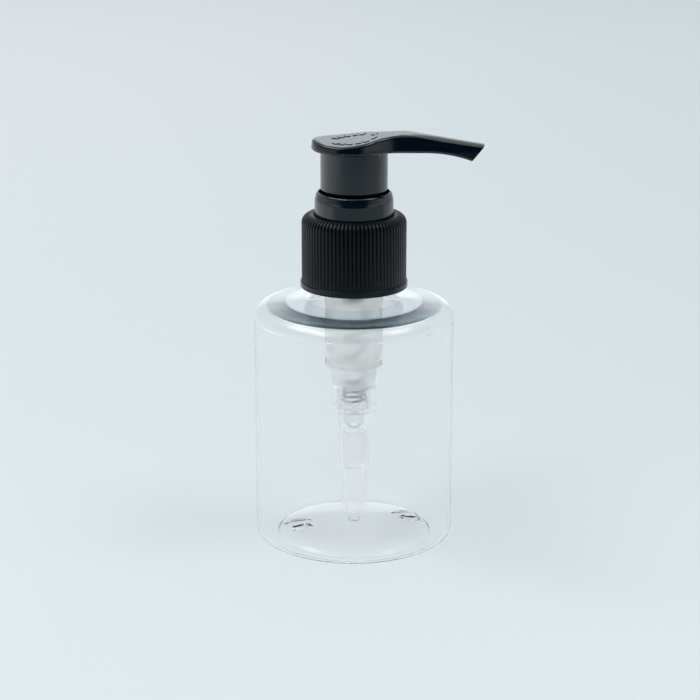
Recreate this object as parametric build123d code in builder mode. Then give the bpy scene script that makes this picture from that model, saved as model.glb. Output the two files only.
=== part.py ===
from build123d import *
import math
import os

# Soap pump dispenser: a clear cylinder bottle with a screw-on lotion pump.
# Millimetres, +Z up, the origin at the centre of the ring the bottle stands on.
# The spout points along +X.

# Bottle
bottle_diameter = 52.2
bottle_wall = 0.8
base_wall = 1.1
body_height = 63.5
shoulder_rise = 1.9
shoulder_round = 3.5
heel_round = 2.6
foot_width = 3.2
foot_step = 1.0
dome_rise = 2.0
neck_diameter = 21.5
neck_wall = 1.55
neck_height = 16.6
neck_round = 1.4
shoulder_wall = 2.3
gate_diameter = 3.0
gate_height = 0.5
notch_count = 2
notch_angle = 17.0
notch_reach = 15.2
notch_length = 3.8
notch_width = 4.6
notch_drop = 0.9

# Closure, the ribbed screw cap
closure_diameter = 27.2
closure_height = 19.1
closure_round = 2.2
closure_bore = 24.2
closure_plate = 1.4
closure_flange = 0.35
closure_flange_height = 1.6
rib_count = 80
groove_width = 0.46
groove_depth = 0.4

# Sealing stack on the neck
gasket_thickness = 1.0
housing_flange = 1.0
flange_diameter = 23.0
chaplet_flange = 1.8

# Chaplet, the fixed collar that the head slides in
chaplet_diameter = 20.4
chaplet_wall = 1.0
chaplet_web = 0.7
chaplet_lean = 0.55
chaplet_lean_height = 1.9
chaplet_lean_round = 3.0
chaplet_round = 0.5
guide_depth = 5.0
guide_share = 0.37
guide_tower = 2.8
plug_share = 0.27

# Head, with its skirt and spout
stroke = 9.0
skirt_diameter = 17.3
skirt_wall = 1.15
skirt_lift = 0.8
head_lift = 1.2
pad_radius = 10.0
pad_shift = 1.1
pad_thickness = 2.5
pad_heel = 0.6
pad_dip = 0.3
pad_dip_reach = -3.6
spout_reach = 33.3
spout_crest = 4.2
spout_crest_reach = 12.8
spout_fall = 1.0
spout_fall_reach = 22.0
spout_drop = 1.2
spout_root_width = 9.8
spout_tip_width = 5.8
spout_tip_depth = 3.9
spout_tip_rake = 3.3
spout_straight = 18.0
spout_sag = 0.45
neck_overlap = 0.5
head_round = 0.8
head_under_round = 0.7
head_draft = 7.0
roof_drop = 2.2
boss_wall = 1.4
boss_length = 5.0
channel_diameter = 2.4
channel_bend = 12.0
skirt_ribs = 4
skirt_rib_width = 0.8

# Stem, core and piston
stem_diameter = 7.0
stem_bore = 4.6
collar_width = 0.9
collar_height = 0.9
core_neck_diameter = 5.2
core_bore = 3.2
core_grip = 4.0
core_disc_gap = 1.9
core_disc_height = 1.2
core_spigot_diameter = 5.0
core_spigot_height = 5.0
core_spigot_round = 0.8
core_port_diameter = 1.4
piston_slip = 1.0
piston_hub_share = 0.6
piston_hub_height = 5.8
piston_relief = 0.6
piston_web = 1.2
piston_skirt_wall = 0.7
piston_lip = 0.35
piston_lip_height = 1.4

# Pump housing, from its flange down
cylinder_diameter = 15.0
cylinder_wall = 0.9
cylinder_length = 35.8
rim_width = 0.2
rim_height = 1.8
chamber_diameter = 12.0
chamber_wall = 1.2
chamber_length = 6.2
pocket_bore = 7.8
pocket_wall = 0.8
pocket_length = 6.6
pocket_ring = 0.9
pocket_floor_wall = 0.45
fin_count = 8
fin_width = 0.7
tail_diameter = 8.3
tail_length = 15.4
vent_diameter = 1.2

# Inlet valve and dip tube
ball_diameter = 4.5
ball_lift = 1.2
ball_room = 0.5
inlet_diameter = 2.6
inlet_wall = 1.1
retainer_height = 1.0
retainer_ports = 4
retainer_port_diameter = 1.7
tube_diameter = 6.2
tube_wall = 0.9
tube_foot_gap = 1.5

# Return spring
spring_diameter = 7.0
wire_diameter = 0.7
closed_turns_low = 3.5
open_turns = 3.5
closed_turns_high = 1.0
closed_pitch = 1.35

# Clearances
press_gap = 0.02
slide_gap = 0.05
guide_gap = 0.1
turn_gap = 0.2
face_gap = 0.1
stop_gap = 0.3

# Heights of the stack, worked up from the bottle
neck_root = body_height + shoulder_rise
neck_top = neck_root + neck_height
gasket_top = neck_top + gasket_thickness
housing_top = gasket_top + housing_flange
web_top = housing_top + chaplet_web
closure_top = housing_top + chaplet_flange + face_gap + closure_plate
closure_bottom = closure_top - closure_height
skirt_bottom = web_top + stop_gap + stroke
chaplet_rim = skirt_bottom - skirt_lift
head_under = skirt_bottom + stroke + head_lift
head_top = head_under + pad_thickness

# Heights of the pump, worked down from its flange
guide_end = housing_top - guide_depth
collar_top = guide_end - stop_gap
stem_end = collar_top - collar_height
piston_top = stem_end - face_gap - piston_slip
hub_end = piston_top - piston_hub_height
cylinder_end = gasket_top - cylinder_length
chamber_end = cylinder_end - chamber_length
pocket_end = chamber_end - pocket_length
tail_end = pocket_end - tail_length
pocket_floor = pocket_end + pocket_floor_wall
retainer_top = pocket_floor + retainer_height

# Radii that several pieces share
bottle_radius = bottle_diameter / 2
neck_bore_radius = neck_diameter / 2 - neck_wall
bore_radius = cylinder_diameter / 2 - cylinder_wall
chaplet_radius = chaplet_diameter / 2
stem_radius = stem_diameter / 2
guide_radius = stem_radius + guide_gap
skirt_radius = skirt_diameter / 2
tube_radius = tube_diameter / 2
ball_radius = ball_diameter / 2
cage_radius = ball_radius + ball_room


def turned_section(corners):
    """Half section of a turned piece from (radius, height) or (radius, height, rounding) corners."""
    points = [(corner[0], corner[1]) for corner in corners]
    rounds = [corner[2] if len(corner) > 2 else 0 for corner in corners]
    with BuildSketch(Plane.XZ) as section:
        with BuildLine():
            FilletPolyline(*points, radius=rounds, close=True)
        make_face()
    return section.sketch


def finish(piece, name):
    """Label a finished piece and write it out under its own name."""
    piece.part.label = name
    export_step(piece.part, f"parts/{name}.step")


os.makedirs("parts", exist_ok=True)

# Bottle: the outer form is turned solid, then the inner form is taken out of it.
foot_outer = bottle_radius - heel_round
foot_inner = foot_outer - foot_width
dome_edge = foot_inner - foot_step
shoulder_slope = shoulder_rise / (bottle_radius - shoulder_round - neck_diameter / 2)
shoulder_corner = body_height - shoulder_slope * shoulder_round
inner_radius = bottle_radius - bottle_wall
inner_dome_edge = dome_edge - base_wall / 2
inner_foot = dome_edge + base_wall / 2 + foot_step
dome_top = foot_step + dome_rise
dome_inside = dome_top + base_wall


def base_dome(edge_radius, edge_height, top_height):
    """Arc of the pushed-up base, from the axis out to its edge."""
    ThreePointArc(
        (0, top_height),
        (edge_radius / 2, edge_height + (top_height - edge_height) * 0.75),
        (edge_radius, edge_height),
    )


with BuildPart() as bottle:
    with BuildSketch(Plane.XZ):
        with BuildLine():
            base_dome(dome_edge, foot_step, dome_top)
            FilletPolyline(
                (dome_edge, foot_step),
                (foot_inner, 0),
                (bottle_radius, 0),
                (bottle_radius, shoulder_corner),
                (neck_diameter / 2, neck_root),
                (neck_diameter / 2, neck_top),
                (0, neck_top),
                (0, dome_top),
                radius=[0, heel_round, shoulder_round, neck_round, 0, 0],
            )
        make_face()
    revolve(axis=Axis.Z)
    with BuildSketch(Plane.XZ):
        with BuildLine():
            base_dome(inner_dome_edge, foot_step + base_wall, dome_inside)
            FilletPolyline(
                (inner_dome_edge, foot_step + base_wall),
                (inner_foot, base_wall),
                (inner_radius, base_wall),
                (inner_radius, shoulder_corner - bottle_wall),
                (neck_bore_radius, neck_root - shoulder_wall),
                (neck_bore_radius, neck_top),
                (0, neck_top),
                (0, dome_inside),
                radius=[0, heel_round - bottle_wall, shoulder_round - bottle_wall, neck_round, 0, 0],
            )
        make_face()
    revolve(axis=Axis.Z, mode=Mode.SUBTRACT)
    # gate mark under the dome, and notches that index the bottle
    with BuildSketch(Plane.XY.offset(dome_top - gate_height)):
        Circle(gate_diameter / 2)
    extrude(amount=gate_height + base_wall / 2)
    with BuildSketch():
        with PolarLocations(notch_reach, notch_count, start_angle=notch_angle):
            Rectangle(notch_length, notch_width)
    extrude(amount=dome_top - notch_drop, mode=Mode.SUBTRACT)
finish(bottle, "bottle")

# Gasket: a flat washer between the neck land and the housing flange.
gasket_bore = neck_bore_radius - slide_gap

with BuildPart() as gasket:
    with BuildSketch(Plane.XY.offset(neck_top)):
        Circle(flange_diameter / 2)
        Circle(gasket_bore, mode=Mode.SUBTRACT)
    extrude(amount=gasket_thickness)
finish(gasket, "gasket")

# Closure: a turned cap with a smooth bottom flange and a ring of fine ribs.
closure_radius = closure_diameter / 2
closure_hole = chaplet_radius + turn_gap
flange_top = closure_bottom + closure_flange_height
plate_under = closure_top - closure_plate

with BuildPart() as closure:
    add(
        turned_section(
            [
                (closure_bore / 2, closure_bottom),
                (closure_radius + closure_flange, closure_bottom, closure_flange / 2),
                (closure_radius + closure_flange, flange_top, closure_flange / 2),
                (closure_radius, flange_top),
                (closure_radius, closure_top, closure_round),
                (closure_hole, closure_top),
                (closure_hole, plate_under),
                (closure_bore / 2, plate_under),
            ]
        )
    )
    revolve(axis=Axis.Z)
    with BuildSketch(Plane.XY.offset(flange_top)):
        with PolarLocations(closure_radius, rib_count):
            Polygon(
                (-groove_depth, 0),
                (groove_depth, -groove_width),
                (groove_depth, groove_width),
                align=None,
            )
    extrude(amount=closure_height, mode=Mode.SUBTRACT)
finish(closure, "closure")

# Chaplet: an outer collar, a web on the housing flange, and a plug with the stem guide.
chaplet_bore = chaplet_radius - chaplet_wall
plug_radius = bore_radius - slide_gap
plug_room = plug_radius - guide_radius
plug_bore = plug_radius - plug_share * plug_room
guide_outer = guide_radius + guide_share * plug_room

with BuildPart() as chaplet:
    add(
        turned_section(
            [
                (guide_radius, guide_end),
                (guide_outer, guide_end),
                (guide_outer, housing_top),
                (plug_bore, housing_top),
                (plug_bore, guide_end),
                (plug_radius, guide_end),
                (plug_radius, housing_top),
                (flange_diameter / 2, housing_top),
                (flange_diameter / 2, housing_top + chaplet_flange),
                (chaplet_radius, housing_top + chaplet_flange),
                (chaplet_radius, chaplet_rim - chaplet_lean_height, chaplet_lean_round),
                (chaplet_radius - chaplet_lean, chaplet_rim, chaplet_round),
                (chaplet_bore, chaplet_rim),
                (chaplet_bore, web_top),
                (guide_outer, web_top),
                (guide_outer, web_top + guide_tower),
                (guide_radius, web_top + guide_tower),
            ]
        )
    )
    revolve(axis=Axis.Z)
finish(chaplet, "chaplet")

# Pump housing: flange, main cylinder, spring chamber, finned pocket and tail.
cylinder_radius = cylinder_diameter / 2
chamber_outer = chamber_diameter / 2
chamber_bore = chamber_outer - chamber_wall
chamber_floor = chamber_end + chamber_wall
pocket_radius = pocket_bore / 2
tail_radius = tail_diameter / 2
socket_radius = tube_radius + press_gap
inlet_radius = inlet_diameter / 2
ball_height = pocket_floor - face_gap - ball_lift - ball_radius
seat_low = ball_height + inlet_radius - (ball_radius + slide_gap) * math.sqrt(2)
seat_high = seat_low + cage_radius - inlet_radius
socket_end = seat_low - inlet_wall
vent_height = hub_end + piston_hub_height / 2

with BuildPart() as pump_housing:
    add(
        turned_section(
            [
                (inlet_radius, socket_end),
                (socket_radius, socket_end),
                (socket_radius, tail_end),
                (tail_radius, tail_end),
                (tail_radius, pocket_end),
                (chamber_outer, pocket_end),
                (chamber_outer, pocket_end + pocket_ring),
                (pocket_radius + pocket_wall, pocket_end + pocket_ring),
                (pocket_radius + pocket_wall, chamber_end),
                (chamber_outer, chamber_end),
                (chamber_outer, cylinder_end),
                (cylinder_radius + rim_width, cylinder_end),
                (cylinder_radius + rim_width, cylinder_end + rim_height),
                (cylinder_radius, cylinder_end + rim_height),
                (cylinder_radius, gasket_top),
                (flange_diameter / 2, gasket_top),
                (flange_diameter / 2, housing_top),
                (bore_radius, housing_top),
                (bore_radius, cylinder_end + cylinder_wall),
                (chamber_bore, cylinder_end + cylinder_wall),
                (chamber_bore, chamber_floor + chamber_bore - pocket_radius),
                (pocket_radius, chamber_floor),
                (pocket_radius, pocket_floor),
                (cage_radius, pocket_floor),
                (cage_radius, seat_high),
                (inlet_radius, seat_low),
            ]
        )
    )
    revolve(axis=Axis.Z)
    fin_reach = chamber_outer - pocket_radius - pocket_wall / 2
    with BuildSketch(Plane.XY.offset(pocket_end + pocket_ring)):
        with PolarLocations(chamber_outer - fin_reach / 2, fin_count):
            Rectangle(fin_reach, fin_width)
    extrude(amount=chamber_end - pocket_end - pocket_ring)
    with BuildSketch(Plane.YZ):
        with Locations((0, vent_height)):
            Circle(vent_diameter / 2)
    extrude(amount=-cylinder_diameter, mode=Mode.SUBTRACT)
finish(pump_housing, "pump_housing")

# Dip tube: pushed into the tail, and cut to end just above the bottle's dome.
tube_end = dome_inside + tube_foot_gap

with BuildPart() as dip_tube:
    with BuildSketch(Plane.XY.offset(tube_end)):
        Circle(tube_radius)
        Circle(tube_radius - tube_wall, mode=Mode.SUBTRACT)
    extrude(amount=socket_end - tube_end)
finish(dip_tube, "dip_tube")

# Inlet ball: rests on the cone at the bottom of its chamber.
with BuildPart() as inlet_ball:
    with Locations((0, 0, ball_height)):
        Sphere(ball_radius)
finish(inlet_ball, "inlet_ball")

# Ball retainer: a ported disc that keeps the ball down and carries the spring.
retainer_radius = pocket_radius - slide_gap

with BuildPart() as ball_retainer:
    with BuildSketch(Plane.XY.offset(pocket_floor)):
        Circle(retainer_radius)
        with PolarLocations(retainer_radius / 2, retainer_ports):
            Circle(retainer_port_diameter / 2, mode=Mode.SUBTRACT)
    extrude(amount=retainer_height)
finish(ball_retainer, "ball_retainer")

# Stem core: spring seat, cone for the piston, and a ported neck gripped by the stem.
core_neck_radius = core_neck_diameter / 2
mouth_radius = core_neck_radius + guide_gap + piston_relief + stop_gap
cone_top = hub_end + mouth_radius - core_neck_radius - slide_gap * math.sqrt(2)
disc_radius = bore_radius - core_disc_gap
disc_top = cone_top - disc_radius + core_neck_radius
disc_end = disc_top - core_disc_height
spigot_radius = core_spigot_diameter / 2
core_top = stem_end + core_grip

with BuildPart() as stem_core:
    add(
        turned_section(
            [
                (0, disc_end - core_spigot_height),
                (spigot_radius, disc_end - core_spigot_height, core_spigot_round),
                (spigot_radius, disc_end),
                (disc_radius, disc_end),
                (disc_radius, disc_top),
                (core_neck_radius, cone_top),
                (core_neck_radius, core_top),
                (core_bore / 2, core_top),
                (core_bore / 2, cone_top),
                (0, cone_top),
            ]
        )
    )
    revolve(axis=Axis.Z)
    for side in (Plane.XZ, Plane.YZ):
        with BuildSketch(side):
            with Locations((0, cone_top + core_port_diameter)):
                Circle(core_port_diameter / 2)
        extrude(amount=core_neck_diameter, both=True, mode=Mode.SUBTRACT)
finish(stem_core, "stem_core")

# Piston: a hub that slips on the core's neck, a web, and a skirt with two wiping lips.
hub_bore = core_neck_radius + guide_gap
hub_relief = hub_bore + piston_relief
lip_radius = bore_radius - slide_gap
wall_outer = lip_radius - piston_lip
wall_inner = wall_outer - piston_skirt_wall
hub_outer = hub_bore + piston_hub_share * (wall_inner - hub_bore)
web_low = hub_end + piston_hub_height / 2
skirt_low = hub_end - piston_lip_height

with BuildPart() as piston:
    add(
        turned_section(
            [
                (mouth_radius, hub_end),
                (hub_outer, hub_end),
                (hub_outer, web_low),
                (wall_inner, web_low),
                (lip_radius - piston_skirt_wall, skirt_low),
                (lip_radius, skirt_low),
                (wall_outer, skirt_low + piston_lip_height),
                (wall_outer, piston_top - piston_lip_height),
                (lip_radius, piston_top),
                (lip_radius - piston_skirt_wall, piston_top),
                (wall_inner, web_low + piston_web),
                (hub_outer, web_low + piston_web),
                (hub_outer, piston_top),
                (hub_bore, piston_top),
                (hub_bore, web_low + piston_web),
                (hub_relief, web_low),
                (hub_relief, hub_end + mouth_radius - hub_relief),
            ]
        )
    )
    revolve(axis=Axis.Z)
finish(piston, "piston")

# Stem: a tube from the piston up into the head, with a stop collar at its foot.
roof_under = head_under - roof_drop
stem_top = roof_under - face_gap
grip_radius = core_neck_radius + press_gap

with BuildPart() as stem:
    add(
        turned_section(
            [
                (grip_radius, stem_end),
                (stem_radius + collar_width, stem_end),
                (stem_radius + collar_width, collar_top),
                (stem_radius, collar_top),
                (stem_radius, stem_top),
                (stem_bore / 2, stem_top),
                (stem_bore / 2, core_top + face_gap),
                (grip_radius, core_top + face_gap),
            ]
        )
    )
    revolve(axis=Axis.Z)
finish(stem, "stem")

# Return spring: closed turns at both ends, open turns between, on one wire.
coil_radius = (spring_diameter - wire_diameter) / 2
spring_low = retainer_top + slide_gap + wire_diameter / 2
spring_high = disc_end - slide_gap - wire_diameter / 2
total_turns = closed_turns_low + open_turns + closed_turns_high
open_rise = spring_high - spring_low - (closed_turns_low + closed_turns_high) * closed_pitch
open_pitch = open_rise / open_turns


def coil_height(turn):
    """Height of the wire's centre after a number of turns."""
    low = min(turn, closed_turns_low)
    middle = min(max(turn - closed_turns_low, 0), open_turns)
    high = max(turn - closed_turns_low - open_turns, 0)
    return spring_low + (low + high) * closed_pitch + middle * open_pitch


def coil_point(turn):
    angle = 2 * math.pi * turn
    return Vector(coil_radius * math.cos(angle), coil_radius * math.sin(angle), coil_height(turn))


def coil_direction(turn):
    """Unit direction of the wire, from the mean slope a quarter turn either way."""
    angle = 2 * math.pi * turn
    before = max(turn - 0.25, 0)
    after = min(turn + 0.25, total_turns)
    slope = (coil_height(after) - coil_height(before)) / (after - before)
    run = 2 * math.pi * coil_radius
    return Vector(-run * math.sin(angle), run * math.cos(angle), slope).normalized()


def biarc(start, start_way, end, end_way):
    """Two arcs that leave start and reach end along the given directions."""
    span = end - start
    both = start_way + end_way
    square = 2 * (1 - start_way.dot(end_way))
    across = span.dot(both)
    reach = (math.sqrt(across**2 + square * span.dot(span)) - across) / square
    joint = (start + end + (start_way - end_way) * reach) * 0.5
    joint_way = end - end_way * reach - start - start_way * reach
    TangentArc(start, joint, tangent=start_way)
    TangentArc(joint, end, tangent=joint_way)


quarter_turns = round(4 * total_turns)
with BuildPart() as return_spring:
    with BuildLine() as wire_path:
        for quarter in range(quarter_turns):
            first = quarter / 4
            last = first + 1 / 4
            biarc(coil_point(first), coil_direction(first), coil_point(last), coil_direction(last))
    with BuildSketch(Plane(origin=wire_path.line @ 0, z_dir=wire_path.line % 0)):
        Circle(wire_diameter / 2)
    sweep(path=wire_path.wires()[0])
finish(return_spring, "return_spring")

sample_count = 600
samples = [wire_path.wires()[0].position_at(i / sample_count) for i in range(sample_count + 1)]
half_turn = round(sample_count / total_turns / 2)
coil_gap = min(
    (samples[i] - other).length for i in range(sample_count) for other in samples[i + half_turn :]
)
print("spring turns", total_turns, "least gap", round(coil_gap - wire_diameter, 3))

# Actuator: the saddle head, its hollow spout, its skirt and the socket for the stem.
socket_top = stem_top + face_gap
boss_radius = stem_radius + press_gap + boss_wall
skirt_bore = skirt_radius - skirt_wall
boss_end = roof_under - boss_length
spout_top = head_top + spout_crest - pad_thickness
tip_top = head_top - spout_drop
tip_low = tip_top - spout_tip_depth
tip_low_reach = spout_reach - spout_tip_rake
spout_under = head_under - spout_sag
pad_back = -pad_shift - pad_radius
channel_mid = (spout_top + spout_under) / 2
tip_middle = ((spout_reach + tip_low_reach) / 2, (tip_top + tip_low) / 2)
draft_spread = (head_under - tip_low) * math.tan(math.radians(head_draft))
plan_reach = spout_reach + spout_tip_rake

with BuildPart() as actuator:
    # side view of the head, as thick as the pad is wide
    with BuildSketch(Plane.XZ):
        with BuildLine():
            Spline(
                (pad_back - draft_spread, head_top + pad_heel),
                (pad_dip_reach, head_top - pad_dip),
                (spout_crest_reach, spout_top),
                (spout_fall_reach, spout_top - spout_fall),
                (spout_reach, tip_top),
            )
            Polyline((spout_reach, tip_top), (tip_low_reach, tip_low))
            TangentArc((spout_straight, spout_under), (tip_low_reach, tip_low), tangent=(1, 0))
            Polyline(
                (spout_straight, spout_under),
                (pad_back - draft_spread, head_under),
                (pad_back - draft_spread, head_top + pad_heel),
            )
        make_face()
    extrude(amount=pad_radius + draft_spread, both=True)
    # top view of the head: a round pad that draws in to the spout, with drafted sides
    with BuildSketch(Plane.XY.offset(tip_low)) as plan:
        with Locations((-pad_shift, 0)):
            Circle(pad_radius + draft_spread)
        with BuildLine():
            Polyline(
                (0, -spout_root_width / 2 - draft_spread),
                (plan_reach, -spout_tip_width / 2 - draft_spread),
                (plan_reach, spout_tip_width / 2 + draft_spread),
                (0, spout_root_width / 2 + draft_spread),
                close=True,
            )
        make_face()
        fillet(plan.vertices().sort_by(Axis.X)[:2], pad_radius)
    extrude(amount=spout_top - tip_low + head_round, taper=head_draft, mode=Mode.INTERSECT)
    top_edges = actuator.faces().sort_by(Axis.Z)[-1].edges()
    fillet(top_edges.filter_by(lambda edge: edge.center().X < tip_low_reach), head_round)
    under_face = actuator.faces().filter_by(Axis.Z, tolerance=2).sort_by(Axis.Z)[0]
    under_reach = spout_straight - head_under_round
    under_edges = under_face.edges().filter_by(lambda edge: edge.center().X < under_reach)
    fillet(under_edges, head_under_round)
    # skirt, roof and stem socket in one turned section
    add(
        turned_section(
            [
                (0, socket_top),
                (stem_radius + press_gap, socket_top),
                (stem_radius + press_gap, boss_end),
                (boss_radius, boss_end),
                (boss_radius, roof_under),
                (skirt_bore, roof_under),
                (skirt_bore, skirt_bottom),
                (skirt_radius, skirt_bottom),
                (skirt_radius, head_under + neck_overlap),
                (0, head_under + neck_overlap),
            ]
        )
    )
    revolve(axis=Axis.Z)
    rib_reach = skirt_bore - boss_radius + boss_wall
    with BuildSketch(Plane.XY.offset(roof_under)):
        with PolarLocations((skirt_bore + boss_radius) / 2, skirt_ribs, start_angle=45):
            Rectangle(rib_reach, skirt_rib_width)
    extrude(amount=-boss_length / 2)
    # outlet channel, up from the stem and along the spout
    with BuildSketch(Plane.XY.offset(socket_top)):
        Circle(stem_bore / 2)
    extrude(amount=head_under - socket_top, mode=Mode.SUBTRACT)
    with BuildLine(Plane.XZ) as channel:
        climb = FilletPolyline(
            (0, head_under - neck_overlap),
            (skirt_radius, channel_mid),
            (spout_straight, channel_mid),
            radius=channel_bend,
        )
        fall = TangentArc(climb @ 1, tip_middle, tangent=(1, 0))
        PolarLine(fall @ 1, channel_diameter, direction=fall % 1)
    with BuildSketch(Plane(origin=channel.line @ 0, z_dir=channel.line % 0)):
        Circle(channel_diameter / 2)
    sweep(path=channel.wires()[0], mode=Mode.SUBTRACT)
finish(actuator, "actuator")
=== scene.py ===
import math

import bmesh
import bpy
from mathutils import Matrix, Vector


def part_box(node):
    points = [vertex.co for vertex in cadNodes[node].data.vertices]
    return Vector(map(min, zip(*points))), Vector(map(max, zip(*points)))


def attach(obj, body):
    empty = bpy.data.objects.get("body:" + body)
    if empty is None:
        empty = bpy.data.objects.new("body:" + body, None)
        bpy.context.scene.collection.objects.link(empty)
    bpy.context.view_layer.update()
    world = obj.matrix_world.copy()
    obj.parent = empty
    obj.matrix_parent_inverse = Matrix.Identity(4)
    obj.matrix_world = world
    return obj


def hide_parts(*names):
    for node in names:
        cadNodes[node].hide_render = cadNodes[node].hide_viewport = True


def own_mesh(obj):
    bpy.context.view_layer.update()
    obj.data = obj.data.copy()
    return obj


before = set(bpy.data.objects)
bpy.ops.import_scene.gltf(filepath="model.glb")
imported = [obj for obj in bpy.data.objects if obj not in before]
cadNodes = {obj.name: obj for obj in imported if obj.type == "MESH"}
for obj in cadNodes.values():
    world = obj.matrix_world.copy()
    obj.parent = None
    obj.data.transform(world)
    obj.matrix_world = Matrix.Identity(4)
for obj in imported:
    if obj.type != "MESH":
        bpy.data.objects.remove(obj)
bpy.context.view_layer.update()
scene = bpy.context.scene
mm = 0.001
print("frame loaded:", len(cadNodes), "nodes")

# camera, as the photograph was taken
viewpoint = {
    "place": (-0.00105, -0.5336, 0.2090), "tilt": 73.466, "lens": 108.84, "sensor": 36.0, "near": 0.01,
}

cameraData = bpy.data.cameras.new("camera")
cameraData.lens = viewpoint["lens"]
cameraData.sensor_width = viewpoint["sensor"]
cameraData.clip_start = viewpoint["near"]
camera = bpy.data.objects.new("camera", cameraData)
camera.location = viewpoint["place"]
camera.rotation_euler = (math.radians(viewpoint["tilt"]), 0, 0)
scene.collection.objects.link(camera)
scene.camera = camera
scene.view_settings.view_transform = "Standard"
print("camera set")


# small helpers for nodes
def link(tree, source, target):
    tree.links.new(source, target)


def feed(tree, value, socket):
    if isinstance(value, (int, float, tuple)):
        socket.default_value = value
    else:
        link(tree, value, socket)


def mathNode(tree, kind, first, second=None):
    node = tree.nodes.new("ShaderNodeMath")
    node.operation = kind
    feed(tree, first, node.inputs[0])
    if second is not None:
        feed(tree, second, node.inputs[1])
    return node.outputs[0]


def rangeNode(tree, value, fromLow, fromHigh, toLow, toHigh, smooth=False):
    node = tree.nodes.new("ShaderNodeMapRange")
    if smooth:
        node.interpolation_type = "SMOOTHSTEP"
    numbers = {"Value": value, "From Min": fromLow, "From Max": fromHigh, "To Min": toLow, "To Max": toHigh}
    for name, number in numbers.items():
        feed(tree, number, node.inputs[name])
    return node.outputs["Result"]


def fade(tree, value, edge, unit=1.0):
    return rangeNode(tree, value, edge[0] * unit, edge[1] * unit, 0.0, 1.0, smooth=True)


def mixColour(tree, factor, first, second):
    # the colour sockets of a Mix node share their names with others, so they go by number
    node = tree.nodes.new("ShaderNodeMix")
    node.data_type = "RGBA"
    for socket, value in ((0, factor), (6, first), (7, second)):
        feed(tree, value, node.inputs[socket])
    return node.outputs[2]


def splitPlace(tree, space="Object"):
    place = tree.nodes.new("ShaderNodeTexCoord")
    split = tree.nodes.new("ShaderNodeSeparateXYZ")
    link(tree, place.outputs[space], split.inputs[0])
    return split.outputs


def noiseNode(tree, scale, detail=2.0):
    place = tree.nodes.new("ShaderNodeTexCoord")
    noise = tree.nodes.new("ShaderNodeTexNoise")
    link(tree, place.outputs["Object"], noise.inputs["Vector"])
    noise.inputs["Detail"].default_value = detail
    feed(tree, scale, noise.inputs["Scale"])
    return noise.outputs["Fac"]


def newMaterial(name):
    material = bpy.data.materials.new(name)
    material.use_nodes = True
    return material, material.node_tree, material.node_tree.nodes["Principled BSDF"]


def deselect():
    bpy.ops.object.select_all(action="DESELECT")


# studio: a pale table that ends behind the camera's foot, and a surround that is bright behind the
# object and dim on the camera's side
studio = {
    "table": {"halfWidth": 3.0, "front": -0.62, "back": 4.0},
    # painted light and shade: the table is lighter just in front of the object, where its shade falls,
    # lighter on the left, under the stronger lamp, than on the right, and lighter far back
    "tableFront": (0.749, 0.793, 0.793, 1),
    "tableMiddle": ((0.727, 0.772, 0.773, 1), (0.690, 0.733, 0.744, 1)),
    "tableFar": ((0.838, 0.864, 0.870, 1), (0.762, 0.816, 0.827, 1)),
    "tableSides": (-0.25, 0.25),
    "tableReach": ((-0.06, 0.12), (0.20, 1.10)),
    "tableFinish": {"rough": 0.9, "specular": 0.1},
    "tableShade": {"colour": (0.40, 0.50, 0.545, 1), "edge": (-0.13, -0.20)},
    "cards": {
        # before: painted shade, a dimmer strip before the right card
        "left": (0.98, 0.98, 0.98, 1), "right": (0.76, 0.83, 0.86, 1), "before": (0.46, 0.53, 0.56, 1),
        "edge": (0.15, 0.22), "spread": 0.165, "frontLeft": (-0.26, -0.10), "frontRight": (0.00, 0.10),
    },
    "sweep": (0.60, 0.66, 0.68, 1),
    "sweepMiddle": (1.12, 1.20, 1.24, 1),
    "ceiling": (1.00, 1.02, 1.03, 1),
    "room": (0.018, 0.054, 0.125, 1),
    "backdrop": (0.74, 0.79, 0.81, 1),
    "sideGlow": (0.72, 0.76, 0.80, 1),
    "sideEdge": (0.48, 0.82),
    "sideTop": (0.15, 0.40),
    "sweepEdge": (0.22, 0.42),
    "sweepRise": (0.95, 0.985),
    "ceilingEdge": (0.55, 0.85),
    "lampAim": (0, 0, 0.06),
}
lamps = (
    {"name": "lamp_left", "place": (-0.75, -0.10, 1.30), "size": (1.50, 0.45), "power": 7.4},
    {"name": "lamp_right", "place": (0.75, -0.10, 1.30), "size": (0.70, 0.45), "power": 3.2},
)


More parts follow.
